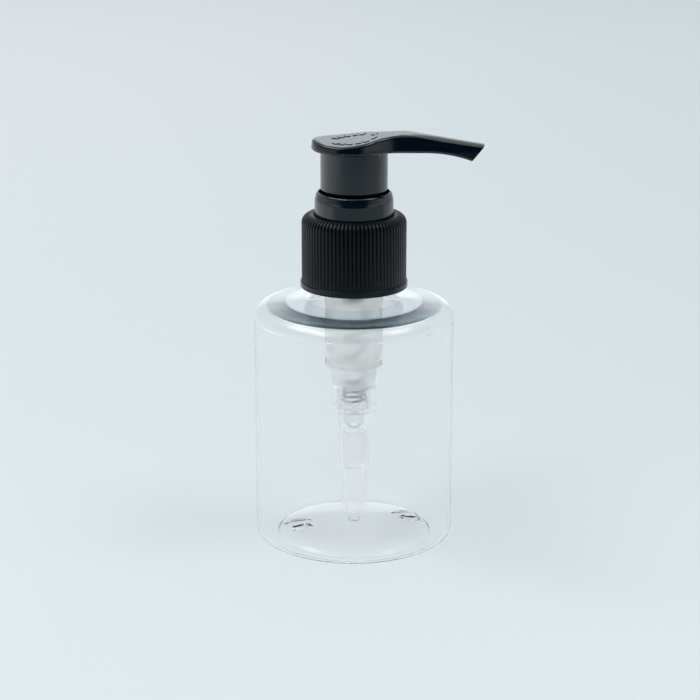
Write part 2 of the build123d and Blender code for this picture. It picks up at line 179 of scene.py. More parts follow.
def buildTable():
    table = studio["table"]
    depth = table["back"] - table["front"]
    deselect()
    bpy.ops.mesh.primitive_plane_add(size=1.0, location=(0, table["front"] + depth / 2, 0))
    top = bpy.context.object
    top.name = "table"
    top.scale = (2 * table["halfWidth"], depth, 1)
    bpy.ops.object.transform_apply(location=True, rotation=True, scale=True)
    material, tree, shader = newMaterial("pale_table")
    place = splitPlace(tree)
    # painted light and shade on the table, from front to back and from left to right
    across = fade(tree, place["X"], studio["tableSides"])
    behind = fade(tree, place["Y"], studio["tableReach"][0])
    away = fade(tree, place["Y"], studio["tableReach"][1])
    middle = mixColour(tree, across, *studio["tableMiddle"])
    far = mixColour(tree, across, *studio["tableFar"])
    near = mixColour(tree, behind, studio["tableFront"], middle)
    shown = mixColour(tree, away, near, far)
    # out of the picture: painted shade darkens the table in front, with a pale card on each side
    shade, cards = studio["tableShade"], studio["cards"]
    shown = mixColour(tree, fade(tree, place["Y"], shade["edge"]), shown, shade["colour"])
    aside = mathNode(tree, "ABSOLUTE", place["X"])
    spread = rangeNode(tree, place["Y"], 0.0, 1.0, 0.0, cards["spread"])
    onCard = fade(tree, mathNode(tree, "SUBTRACT", aside, spread), cards["edge"])
    onRight = mathNode(tree, "GREATER_THAN", place["X"], 0.0)
    besideLeft = fade(tree, place["Y"], cards["frontLeft"])
    besideRight = fade(tree, place["Y"], cards["frontRight"])
    beside = rangeNode(tree, onRight, 0.0, 1.0, besideLeft, besideRight)
    card = mixColour(tree, onRight, cards["left"], cards["right"])
    # painted shade: a dimmer strip before the right card
    before = mathNode(tree, "MULTIPLY", onRight, mathNode(tree, "SUBTRACT", 1.0, besideRight))
    shown = mixColour(tree, mathNode(tree, "MULTIPLY", onCard, before), shown, cards["before"])
    shown = mixColour(tree, mathNode(tree, "MULTIPLY", onCard, beside), shown, card)
    link(tree, shown, shader.inputs["Base Color"])
    shader.inputs["Roughness"].default_value = studio["tableFinish"]["rough"]
    shader.inputs["Specular IOR Level"].default_value = studio["tableFinish"]["specular"]
    top.data.materials.append(material)


def buildSurround():
    world = bpy.data.worlds.new("surround")
    scene.world = world
    world.use_nodes = True
    tree = world.node_tree
    tree.nodes.clear()
    way = splitPlace(tree, "Generated")
    middle = fade(tree, way["Y"], studio["sweepRise"])
    sweep = mixColour(tree, middle, studio["sweep"], studio["sweepMiddle"])
    aside = fade(tree, mathNode(tree, "ABSOLUTE", way["X"]), studio["sideEdge"])
    low = rangeNode(tree, way["Z"], *studio["sideTop"], 1.0, 0.0, smooth=True)
    walls = mixColour(tree, mathNode(tree, "MULTIPLY", aside, low), studio["room"], studio["sideGlow"])
    sides = mixColour(tree, fade(tree, way["Y"], studio["sweepEdge"]), walls, sweep)
    colour = mixColour(tree, fade(tree, way["Z"], studio["ceilingEdge"]), sides, studio["ceiling"])
    # the dim room lights and mirrors, but a pale backdrop is what the camera sees past the table
    path = tree.nodes.new("ShaderNodeLightPath")
    colour = mixColour(tree, path.outputs["Is Camera Ray"], colour, studio["backdrop"])
    background = tree.nodes.new("ShaderNodeBackground")
    output = tree.nodes.new("ShaderNodeOutputWorld")
    link(tree, colour, background.inputs["Color"])
    link(tree, background.outputs[0], output.inputs["Surface"])


def buildLamp(lamp):
    data = bpy.data.lights.new(lamp["name"], "AREA")
    data.shape = "RECTANGLE"
    data.size, data.size_y = lamp["size"]
    data.energy = lamp["power"]
    holder = bpy.data.objects.new(lamp["name"], data)
    holder.location = lamp["place"]
    aim = Vector(studio["lampAim"]) - holder.location
    holder.rotation_euler = aim.to_track_quat("-Z", "Y").to_euler()
    scene.collection.objects.link(holder)


buildTable()
buildSurround()
for lamp in lamps:
    buildLamp(lamp)
print("studio ready")


# moulded plastic: fine spark-eroded grain, slow mottling of gloss and shade
grainShape = {"grainDetail": 3.0, "mottleDetail": 4.0, "mottleRange": (0.3, 0.7)}


def buildGrainGroup():
    group = bpy.data.node_groups.new("mouldedGrain", "ShaderNodeTree")
    for name in ("Grain Scale", "Mottle Scale", "Rough Low", "Rough High"):
        group.interface.new_socket(name=name, in_out="INPUT", socket_type="NodeSocketFloat")
    for name in ("Shade Low", "Shade High"):
        group.interface.new_socket(name=name, in_out="INPUT", socket_type="NodeSocketColor")
    for name, kind in (("Color", "Color"), ("Roughness", "Float"), ("Height", "Float")):
        group.interface.new_socket(name=name, in_out="OUTPUT", socket_type="NodeSocket" + kind)
    start = group.nodes.new("NodeGroupInput").outputs
    end = group.nodes.new("NodeGroupOutput").inputs
    grain = noiseNode(group, start["Grain Scale"], grainShape["grainDetail"])
    mottle = noiseNode(group, start["Mottle Scale"], grainShape["mottleDetail"])
    slow = rangeNode(group, mottle, *grainShape["mottleRange"], 0.0, 1.0)
    rough = rangeNode(group, slow, 0.0, 1.0, start["Rough Low"], start["Rough High"])
    link(group, mixColour(group, slow, start["Shade Low"], start["Shade High"]), end["Color"])
    link(group, rough, end["Roughness"])
    link(group, grain, end["Height"])
    return group


grainGroup = buildGrainGroup()

plasticUsual = {"ior": 1.49, "specular": 0.5, "clear": 0.0, "soft": 0.0, "softDepth": 0.001, "facing": 0.5}


def plastic(name, finish):
    material, tree, shader = newMaterial(name)
    finish = {**plasticUsual, **finish}
    grain = tree.nodes.new("ShaderNodeGroup")
    grain.node_tree = grainGroup
    grain.inputs["Grain Scale"].default_value = finish["grain"]
    grain.inputs["Mottle Scale"].default_value = finish["mottle"]
    for end, rough, shade in zip(("Low", "High"), finish["rough"], finish["shade"]):
        grain.inputs["Rough " + end].default_value = rough
        grain.inputs["Shade " + end].default_value = shade
    bump = tree.nodes.new("ShaderNodeBump")
    bump.inputs["Strength"].default_value = finish["bump"]
    bump.inputs["Distance"].default_value = finish["bumpDepth"]
    link(tree, grain.outputs["Height"], bump.inputs["Height"])
    link(tree, bump.outputs["Normal"], shader.inputs["Normal"])
    link(tree, grain.outputs["Color"], shader.inputs["Base Color"])
    rough = grain.outputs["Roughness"]
    # a duller, lacquered stretch below a height
    if "band" in finish:
        band = finish["band"]
        high = rangeNode(tree, splitPlace(tree)["Z"], band["from"] * mm, band["to"] * mm, 0.0, 1.0)
        rough = rangeNode(tree, high, 0.0, 1.0, band["rough"], rough)
        link(tree, rangeNode(tree, high, 0.0, 1.0, band["coat"], 0.0), shader.inputs["Coat Weight"])
        shader.inputs["Coat Roughness"].default_value = band["rough"]
    link(tree, rough, shader.inputs["Roughness"])
    shader.inputs["IOR"].default_value = finish["ior"]
    shader.inputs["Specular IOR Level"].default_value = finish["specular"]
    shader.inputs["Transmission Weight"].default_value = finish["clear"]
    shader.inputs["Subsurface Weight"].default_value = finish["soft"]
    shader.inputs["Subsurface Radius"].default_value = (1.0, 1.0, 1.0)
    shader.inputs["Subsurface Scale"].default_value = finish["softDepth"]
    # thin walls let more through where they face the eye, and below a height
    if "veil" in finish:
        veil = finish["veil"]
        facing = tree.nodes.new("ShaderNodeLayerWeight")
        facing.inputs["Blend"].default_value = finish["facing"]
        height = splitPlace(tree)["Z"]
        low, high = veil["from"] * mm, veil["to"] * mm
        thin = rangeNode(tree, height, low, high, veil["below"][0], veil["above"][0])
        thick = rangeNode(tree, height, low, high, veil["below"][1], veil["above"][1])
        link(tree, rangeNode(tree, facing.outputs["Facing"], 0.0, 1.0, thin, thick), shader.inputs["Alpha"])
    return material


finishes = {
    "satin_black": {
        "grain": 3500.0, "mottle": 220.0, "rough": (0.09, 0.15), "bump": 0.10, "bumpDepth": 0.00002,
        "shade": ((0.0006, 0.0022, 0.0036, 1), (0.0014, 0.0034, 0.0052, 1)), "ior": 1.50,
        "band": {"from": 103.8, "to": 104.3, "rough": 0.30, "coat": 0.30},
    },
    "gloss_black": {
        "grain": 2200.0, "mottle": 180.0, "rough": (0.06, 0.12), "bump": 0.05, "bumpDepth": 0.00002,
        "shade": ((0.0006, 0.0030, 0.0044, 1), (0.0012, 0.0042, 0.0060, 1)), "ior": 1.58,
    },
    "matt_black": {
        "grain": 5200.0, "mottle": 300.0, "rough": (0.38, 0.48), "bump": 0.30, "bumpDepth": 0.00003,
        "shade": ((0.0012, 0.0024, 0.0036, 1), (0.0026, 0.0040, 0.0054, 1)), "specular": 0.30,
        "band": {"from": 69.9, "to": 70.3, "rough": 0.22, "coat": 0.05},
    },
    "natural_plastic": {
        "grain": 2600.0, "mottle": 160.0, "rough": (0.56, 0.68), "bump": 0.08, "bumpDepth": 0.00003,
        "shade": ((0.990, 0.978, 0.958, 1), (1.0, 0.988, 0.970, 1)), "ior": 1.06, "clear": 0.91,
        "veil": {"from": 40.8, "to": 42.5, "below": (0.26, 0.28), "above": (0.86, 0.97)},
    },
    "housing_plastic": {
        "grain": 2600.0, "mottle": 160.0, "rough": (0.56, 0.68), "bump": 0.08, "bumpDepth": 0.00003,
        "shade": ((0.985, 0.980, 0.968, 1), (0.995, 0.992, 0.982, 1)), "ior": 1.18, "clear": 0.87,
        "veil": {"from": 40.8, "to": 42.5, "below": (0.16, 0.22), "above": (0.88, 0.97)},
    },
    "white_plastic": {
        "grain": 3000.0, "mottle": 200.0, "rough": (0.28, 0.40), "bump": 0.10, "bumpDepth": 0.00003,
        "shade": ((0.84, 0.85, 0.85, 1), (0.90, 0.91, 0.91, 1)), "soft": 0.3,
    },
    "soft_seal": {
        "grain": 5200.0, "mottle": 400.0, "rough": (0.55, 0.70), "bump": 0.30, "bumpDepth": 0.00005,
        "shade": ((0.78, 0.78, 0.76, 1), (0.88, 0.88, 0.86, 1)), "soft": 0.1,
    },
}
looks = {name: plastic(name, finish) for name, finish in finishes.items()}


# blown clear plastic: polished, with the slow ripple of a thin blown wall; the thick ring of the shoulder is
# bluer and a little hazy, its blue partly a painted reflection, and the middle of the base greyer with
# painted shadow
petShape = {"ripple": 120.0, "rippleDetail": 1.0, "rippleDepth": 0.0002}
petZones = {
    "clear_pet": {"ior": 1.48, "ripple": 0.30},
    "clear_wall": {"ior": 1.12, "ripple": 0.03},
    "clear_base": {"ior": 1.26, "ripple": 0.16},
}
petRing = {
    "inner": (16.5, 18.5), "outer": (22.0, 24.0), "low": (60.5, 62.5), "turned": (0.25, 0.70), "rough": 0.18,
    "base": (3.0, 5.0), "foot": (14.0, 23.0), "baseRough": 0.08,
}
petTints = {
    # the ring's blue: the tint of thick plastic and a painted dark reflection
    "wall": ((0.992, 0.994, 0.998, 1), (0.998, 0.999, 1.0, 1)), "ring": (0.72, 0.87, 1.0, 1),
    # the base's grey is a painted shadow under the bottle, which casts none
    "base": (0.88, 0.88, 0.90, 1),
}


def clearPlastic(name, zone):
    material, tree, shader = newMaterial(name)
    ripple = noiseNode(tree, petShape["ripple"], petShape["rippleDetail"])
    bump = tree.nodes.new("ShaderNodeBump")
    bump.inputs["Strength"].default_value = zone["ripple"]
    bump.inputs["Distance"].default_value = petShape["rippleDepth"]
    link(tree, ripple, bump.inputs["Height"])
    link(tree, bump.outputs["Normal"], shader.inputs["Normal"])

    place = splitPlace(tree)
    across = mathNode(tree, "MULTIPLY", place["X"], place["X"])
    along = mathNode(tree, "MULTIPLY", place["Y"], place["Y"])
    radius = mathNode(tree, "SQRT", mathNode(tree, "ADD", across, along))
    outOfNeck = fade(tree, radius, petRing["inner"], mm)
    inOfEdge = mathNode(tree, "SUBTRACT", 1.0, fade(tree, radius, petRing["outer"], mm))
    upper = fade(tree, place["Z"], petRing["low"], mm)
    ring = mathNode(tree, "MULTIPLY", mathNode(tree, "MULTIPLY", outOfNeck, inOfEdge), upper)
    # the ring's tint, with its painted reflection, is strongest toward the front and back and fades at the
    # sides
    turned = mathNode(tree, "DIVIDE", mathNode(tree, "ABSOLUTE", place["Y"]), radius)
    tintAndPaintedReflection = mathNode(tree, "MULTIPLY", ring, fade(tree, turned, petRing["turned"]))
    # painted shadow: the middle of the base is greyer
    aboveBase = fade(tree, place["Z"], petRing["base"], mm)
    clear = mathNode(tree, "MAXIMUM", aboveBase, fade(tree, radius, petRing["foot"], mm))
    wallTintAndPaintedShadow = mixColour(tree, clear, petTints["base"], mixColour(tree, ripple, *petTints["wall"]))
    link(tree, mixColour(tree, tintAndPaintedReflection, wallTintAndPaintedShadow, petTints["ring"]), shader.inputs["Base Color"])
    ringRough = mathNode(tree, "MULTIPLY", ring, petRing["rough"])
    baseRough = rangeNode(tree, clear, 0.0, 1.0, petRing["baseRough"], 0.0)
    link(tree, mathNode(tree, "MAXIMUM", ringRough, baseRough), shader.inputs["Roughness"])
    shader.inputs["IOR"].default_value = zone["ior"]
    shader.inputs["Transmission Weight"].default_value = 1.0
    return material


# drawn spring wire: a little duller in patches
wireLook = {
    "patch": 900.0, "range": (0.3, 0.7), "rough": (0.18, 0.34),
    "colours": ((0.56, 0.57, 0.58, 1), (0.68, 0.69, 0.70, 1)),
}


def springWire():
    material, tree, shader = newMaterial("spring_steel")
    patch = noiseNode(tree, wireLook["patch"])
    rough = rangeNode(tree, patch, *wireLook["range"], *wireLook["rough"])
    link(tree, rough, shader.inputs["Roughness"])
    link(tree, mixColour(tree, patch, *wireLook["colours"]), shader.inputs["Base Color"])
    shader.inputs["Metallic"].default_value = 1.0
    return material


# ground glass ball
ballLook = {
    "haze": 1200.0, "range": (0.3, 0.7), "rough": (0.02, 0.10), "colour": (0.97, 0.985, 0.98, 1), "ior": 1.5,
}


def ballGlass():
    material, tree, shader = newMaterial("ball_glass")
    haze = noiseNode(tree, ballLook["haze"])
    rough = rangeNode(tree, haze, *ballLook["range"], *ballLook["rough"])
    link(tree, rough, shader.inputs["Roughness"])
    shader.inputs["Base Color"].default_value = ballLook["colour"]
    shader.inputs["IOR"].default_value = ballLook["ior"]
    shader.inputs["Transmission Weight"].default_value = 1.0
    return material


for zoneName, zone in petZones.items():
    looks[zoneName] = clearPlastic(zoneName, zone)
looks["spring_steel"] = springWire()
looks["ball_glass"] = ballGlass()

nodeLooks = {
    "bottle": "clear_pet",
    "gasket": "soft_seal",
    "closure": "matt_black",
    "chaplet": "gloss_black",
    "actuator": "satin_black",
    "stem": "satin_black",
    "stem_core": "white_plastic",
    "piston": "white_plastic",
    "return_spring": "spring_steel",
    "pump_housing": "housing_plastic",
    "ball_retainer": "natural_plastic",
    "inlet_ball": "ball_glass",
    "dip_tube": "natural_plastic",
}


def dress(piece, look):
    piece.data.materials.clear()
    piece.data.materials.append(looks[look])


for nodeName, look in nodeLooks.items():
    dress(cadNodes[nodeName], look)
print("materials on", len(nodeLooks), "nodes")


# helpers for modelling, with the gap that merges points and the slack in judging a spin or a place
mergeGap = 0.002 * mm
spinSlack = 0.01 * mm
pickSlack = 0.1 * mm


def makeActive(piece):
    deselect()
    bpy.context.view_layer.objects.active = piece
    piece.select_set(True)


def editing(piece):
    makeActive(piece)
    bpy.ops.object.mode_set(mode="EDIT")


def leaveEditing():
    bpy.ops.object.mode_set(mode="OBJECT")


def selectAll():
    bpy.ops.mesh.select_all(action="SELECT")


def pick(piece, wanted):
    bpy.ops.mesh.select_mode(type="VERT")
    bpy.ops.mesh.select_all(action="DESELECT")
    mesh = bmesh.from_edit_mesh(piece.data)
    for vertex in mesh.verts:
        vertex.select_set(wanted(vertex.co))
    mesh.select_flush_mode()
    bmesh.update_edit_mesh(piece.data)


def faceOut():
    selectAll()
    bpy.ops.mesh.normals_make_consistent(inside=False)


def mergeAll():
    selectAll()
    bpy.ops.mesh.remove_doubles(threshold=mergeGap)


def tidyMesh(piece, smoothAngle):
    editing(piece)
    mergeAll()
    faceOut()
    leaveEditing()
    bpy.ops.object.shade_smooth_by_angle(angle=math.radians(smoothAngle))


def closeEnds(piece, smoothAngle):
    editing(piece)
    mergeAll()
    bpy.ops.mesh.select_all(action="DESELECT")
    bpy.ops.mesh.select_mode(type="EDGE")
    bpy.ops.mesh.select_non_manifold(extend=False)
    bpy.ops.mesh.edge_face_add()
    leaveEditing()
    tidyMesh(piece, smoothAngle)


def applyModifier(piece, modifier):
    makeActive(piece)
    bpy.ops.object.modifier_apply(modifier=modifier.name)


def combine(piece, tool, operation):
    cut = piece.modifiers.new("combine", "BOOLEAN")
    cut.operation = operation
    cut.solver = "EXACT"
    cut.object = tool
    applyModifier(piece, cut)
    bpy.data.objects.remove(tool, do_unlink=True)


def wind(piece, turns, rise, stepsPerTurn):
    screw = piece.modifiers.new("winding", "SCREW")
    screw.axis = "Z"
    screw.angle = 2 * math.pi * turns
    screw.screw_offset = rise
    screw.steps = screw.render_steps = round(stepsPerTurn * turns)
    screw.use_merge_vertices = False
    applyModifier(piece, screw)


def joinPieces(pieces, name):
    deselect()
    for piece in pieces:
        piece.select_set(True)
    bpy.context.view_layer.objects.active = pieces[0]
    bpy.ops.object.join()
    pieces[0].name = name
    return pieces[0]


def drawWire(name, points):
    # a plane merged to one point, which is then drawn out along the line
    deselect()
    bpy.ops.mesh.primitive_plane_add(size=mm)
    wire = bpy.context.object
    wire.name = name
    bpy.ops.object.mode_set(mode="EDIT")
    bpy.ops.mesh.select_mode(type="VERT")
    selectAll()
    bpy.ops.mesh.merge(type="CENTER")
    selectAll()
    bpy.ops.transform.translate(value=points[0])
    for before, after in zip(points, points[1:]):
        step = tuple(b - a for a, b in zip(before, after))
        bpy.ops.mesh.extrude_vertices_move(TRANSFORM_OT_translate={"value": step})
    leaveEditing()
    return wire


def drawSection(name, section):
    return drawWire(name, [(point.x * mm, 0, point.y * mm) for point in section])


def roundedLine(corners, segments):
    # corners are (radius, height, rounding) in millimetres, the ends without rounding
    line = [Vector(corners[0][:2])]
    for before, corner, after in zip(corners, corners[1:], corners[2:]):
        here = Vector(corner[:2])
        if len(corner) < 3:
            line.append(here)
            continue
        back = (Vector(before[:2]) - here).normalized()
        ahead = (Vector(after[:2]) - here).normalized()
        half = back.angle(ahead) / 2
        middle = here + (back + ahead).normalized() * corner[2] / math.sin(half)
        first = here + back * corner[2] / math.tan(half) - middle
        turn = first.angle_signed(here + ahead * corner[2] / math.tan(half) - middle)
        for step in range(segments + 1):
            angle = -turn * step / segments
            cos, sin = math.cos(angle), math.sin(angle)
            line.append(middle + Vector((first.x * cos - first.y * sin, first.x * sin + first.y * cos)))
    line.append(Vector(corners[-1][:2]))
    return line


def spin(steps, angle=2 * math.pi, copies=False):
    selectAll()
    bpy.ops.mesh.spin(steps=steps, angle=angle, center=(0, 0, 0), axis=(0, 0, 1), dupli=copies)


def spunBack(piece):
    return any(vertex.co.y < -spinSlack for vertex in bmesh.from_edit_mesh(piece.data).verts)


# thread: one start, wound with a Screw modifier, run out to nothing at both ends
threadShape = {"lead": 3.175, "land": 0.5, "stepsPerTurn": 96, "runOut": 9, "stepShare": 0.3, "smooth": 30}


def buildThread(name, own):
    thread = {**threadShape, **own}
    root, crest = thread["root"] * mm, thread["crest"] * mm
    lead, turns, low = thread["lead"] * mm, thread["turns"], thread["low"] * mm
    flank, land = thread["flank"] * mm, thread["land"] * mm
    section = [
        (root, 0, low),
        (crest, 0, low + flank),
        (crest, 0, low + flank + land),
        (root, 0, low + 2 * flank + land),
    ]
    winding = drawWire(name, section)
    editing(winding)
    selectAll()
    bpy.ops.mesh.edge_face_add()
    bpy.ops.mesh.delete(type="ONLY_FACE")
    leaveEditing()
    perTurn = thread["stepsPerTurn"]
    wind(winding, turns, lead * turns, perTurn)
    editing(winding)
    middleRadius = (root + crest) / 2
    crestOutside = crest > root
    for step in range(thread["runOut"]):
        share = step / thread["runOut"]
        for turn in (step / perTurn, turns - step / perTurn):
            way = Vector((math.cos(2 * math.pi * turn), math.sin(2 * math.pi * turn)))
            height = low + lead * turn

            def onCrest(place):
                flat = Vector(place[:2])
                near = (flat.normalized() - way).length < thread["stepShare"] / perTurn
                level = -pickSlack < place[2] - height < 2 * flank + land + pickSlack
                return near and level and (flat.length > middleRadius) == crestOutside

            pick(winding, onCrest)
            scale = (root + (crest - root) * share) / crest
            bpy.ops.transform.resize(value=(scale, scale, 1), center_override=(0, 0, 0))
    leaveEditing()
    closeEnds(winding, thread["smooth"])
    return winding


# bottle: spun from its section, thinned at two sides of the shoulder, then notched under the base
# and threaded at the neck
bottleShape = {
    "steps": 240, "segments": 12, "gateSegments": 4, "smooth": 40,
    "dome": {"edge": 19.3, "low": 1.0, "top": 3.0, "points": 24},
    "gate": {"radius": 1.5, "height": 2.5, "rounding": 0.25},
    "outside": [
        (20.3, 0.0, 0.6), (26.1, 0.0, 2.6), (26.1, 62.94, 3.5), (10.75, 65.4, 2.6), (10.75, 82.0, 0.3),
    ],
    "inside": [
        (9.2, 82.0, 0.3), (9.2, 64.3, 3.9), (17.5, 62.95, 9.0), (25.65, 62.5, 3.05), (25.65, 0.45, 2.15),
        (20.5, 0.45, 0.8),
    ],
    "innerDome": {"edge": 19.1, "low": 1.5, "top": 3.7, "points": 26},
    "zones": {"wall": 59.5, "dome": 23.4, "domeTop": 7.0},
    "looks": ("clear_wall", "clear_base"),
    "thinned": {"reach": (19.5, 21.5), "angle": 8.0, "top": 63.4, "low": 60.0, "rise": 0.55, "spread": 15.0},
    "notches": {
        "angles": (17.25, 188.25), "reach": (12.2, 17.9), "halfAngle": 11.4, "rise": 0.45, "top": 5.5,
        "steps": ((0.0, 0.0), (0.8, 3.0)),
    },
}
neckThread = {"root": 10.7, "crest": 11.75, "turns": 1.5, "low": 74.4, "flank": 0.55}


def domeLine(dome, startRadius=0.0):
    line = []
    for step in range(dome["points"] + 1):
        radius = startRadius + (dome["edge"] - startRadius) * step / dome["points"]
        rise = (dome["top"] - dome["low"]) * (1 - (radius / dome["edge"]) ** 2)
        line.append(Vector((radius, dome["low"] + rise)))
    return line


def buildBottle():
    gate = bottleShape["gate"]
    under = domeLine(bottleShape["dome"], gate["radius"])
    above = domeLine(bottleShape["innerDome"])
    start = [(0.0, gate["height"]), (gate["radius"], gate["height"], gate["rounding"]), tuple(under[0])]
    around = [tuple(under[-1])] + bottleShape["outside"] + bottleShape["inside"] + [tuple(above[-1])]
    section = roundedLine(start, bottleShape["gateSegments"]) + under[1:]
    section += roundedLine(around, bottleShape["segments"])[1:] + above[-2::-1]
    shell = drawSection("bottle_shell", section)
    editing(shell)
    spin(bottleShape["steps"])
    leaveEditing()
    tidyMesh(shell, bottleShape["smooth"])

    # the shoulder is thinner towards the sides, as blown
    thinned = bottleShape["thinned"]
    for side in (-1, 1):

        def inThin(place):
            reach = Vector(place[:2]).length / mm
            inReach = thinned["reach"][0] < reach < thinned["reach"][1]
            aside = abs(math.atan2(place[1], side * place[0]))
            level = thinned["low"] < place[2] / mm < thinned["top"]
            return inReach and aside < math.radians(thinned["angle"]) and level

        editing(shell)
        pick(shell, inThin)
        bpy.ops.transform.translate(
            value=(0, 0, thinned["rise"] * mm), use_proportional_edit=True, use_proportional_connected=True,
            proportional_edit_falloff="SMOOTH", proportional_size=thinned["spread"] * mm,
        )
        leaveEditing()

    # two pockets pushed up in the base
    notches = bottleShape["notches"]
    editing(shell)
    for turn in notches["angles"]:
        way = Vector((math.cos(math.radians(turn)), math.sin(math.radians(turn))))
        for inset, insetAngle in notches["steps"]:

            def inPocket(place):
                flat = Vector(place[:2])
                reach = flat.length / mm
                inReach = notches["reach"][0] + inset < reach < notches["reach"][1] - inset
                beside = inReach and flat.angle(way) < math.radians(notches["halfAngle"] - insetAngle)
                return beside and place[2] < notches["top"] * mm

            pick(shell, inPocket)
            bpy.ops.transform.translate(value=(0, 0, notches["rise"] * mm))
    leaveEditing()
    combine(shell, buildThread("neck_thread", neckThread), "UNION")
    tidyMesh(shell, bottleShape["smooth"])
    dress(shell, "clear_pet")
    for look in bottleShape["looks"]:
        shell.data.materials.append(looks[look])
    wallIndex, baseIndex = 1, 2
    zones = bottleShape["zones"]
    for face in shell.data.polygons:
        middle = face.center / mm
        if middle.xy.length < zones["dome"] and middle.z < zones["domeTop"]:
            face.material_index = baseIndex
        elif middle.z < zones["wall"]:
            face.material_index = wallIndex
    shell.visible_shadow = False
    shell.visible_diffuse = False
    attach(shell, "bottle")
    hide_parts("bottle")
    return shell


bottleShell = buildBottle()
print("bottle spun:", len(bottleShell.data.polygons), "faces")

# return spring: closed, opening, open, closing and closed turns, each wound in turn
springShape = {
    "coil": 3.15, "wire": 0.35, "sides": 14, "stepsPerTurn": 48, "smooth": 50,
    "closedPitch": 1.35, "openPitch": 7.373,
    "lengths": (("closed", 3.25), ("between", 0.5), ("open", 3.0), ("between", 0.5), ("closed", 0.75)),
    "foot": 35.9, "keep": 0.724,
}


def buildSpring():
    closed, opened = springShape["closedPitch"], springShape["openPitch"]
    pitches = {"closed": closed, "between": (closed + opened) / 2, "open": opened}
    lengths = []
    turnSoFar = 0.0
    height = springShape["foot"] + springShape["wire"]
    for kind, turns in springShape["lengths"]:
        rise = turns * pitches[kind]
        deselect()
        bpy.ops.mesh.primitive_circle_add(
            vertices=springShape["sides"], radius=springShape["wire"] * mm, rotation=(math.pi / 2, 0, 0)
        )
        length = bpy.context.object
        bpy.ops.object.transform_apply(location=True, rotation=True, scale=True)
        length.location = (springShape["coil"] * mm, 0, height * mm)
        bpy.ops.object.transform_apply(location=True, rotation=True, scale=True)
        length.rotation_euler = (0, 0, 2 * math.pi * turnSoFar)
        bpy.ops.object.transform_apply(location=True, rotation=True, scale=True)
        wind(length, turns, rise * mm, springShape["stepsPerTurn"])
        lengths.append(length)
        turnSoFar += turns
        height += rise
    spring = joinPieces(lengths, "coil_spring")
    closeEnds(spring, springShape["smooth"])
    dress(spring, "spring_steel")
    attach(spring, "spring")
    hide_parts("return_spring")
    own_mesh(spring)


buildSpring()
print("spring wound")

# head: the CAD head with the top of its spout crowned
crownShape = {
    "lift": [(4.0, 6.0), (10.0, 4.5), (12.0, 0.6), (12.8, 0.02), (36.0, 0.02)],
    "share": [(12.8, 0.0), (15.0, 0.18), (19.0, 0.75), (23.0, 1.0), (36.0, 1.0)], "leastShare": 0.001,
    "skirtReach": (8.6, 8.7), "skirtTop": 103.95,
    "skirtCuts": (95.5, 97.0, 98.5, 100.0, 101.5, 102.7, 103.4),
    "reach": (4.0, 36.0), "steps": 40, "halfWidth": 4.2, "drop": 1.6, "skirt": (6.0, 4.0), "ribs": 8,
    "thick": 12.0, "above": 200.0, "tipMargin": 0.1, "tipRun": 1.0, "cadSmooth": 30, "smooth": 25,
}


def graph(points, value):
    if value < points[0][0]:
        return points[0][1]
    for (x0, y0), (x1, y1) in zip(points, points[1:]):
        if value <= x1:
            return y0 + (y1 - y0) * (value - x0) / (x1 - x0)
    return points[-1][1]


def topOfHead(reach):
    start = Vector((reach * mm, 0, crownShape["above"] * mm))
    place = cadNodes["actuator"].ray_cast(start, Vector((0, 0, -1)))[1]
    return place.z / mm


def onSkirt(place):
    inner, outer = crownShape["skirtReach"]
    return inner < Vector(place[:2]).length / mm < outer and place[2] / mm < crownShape["skirtTop"]


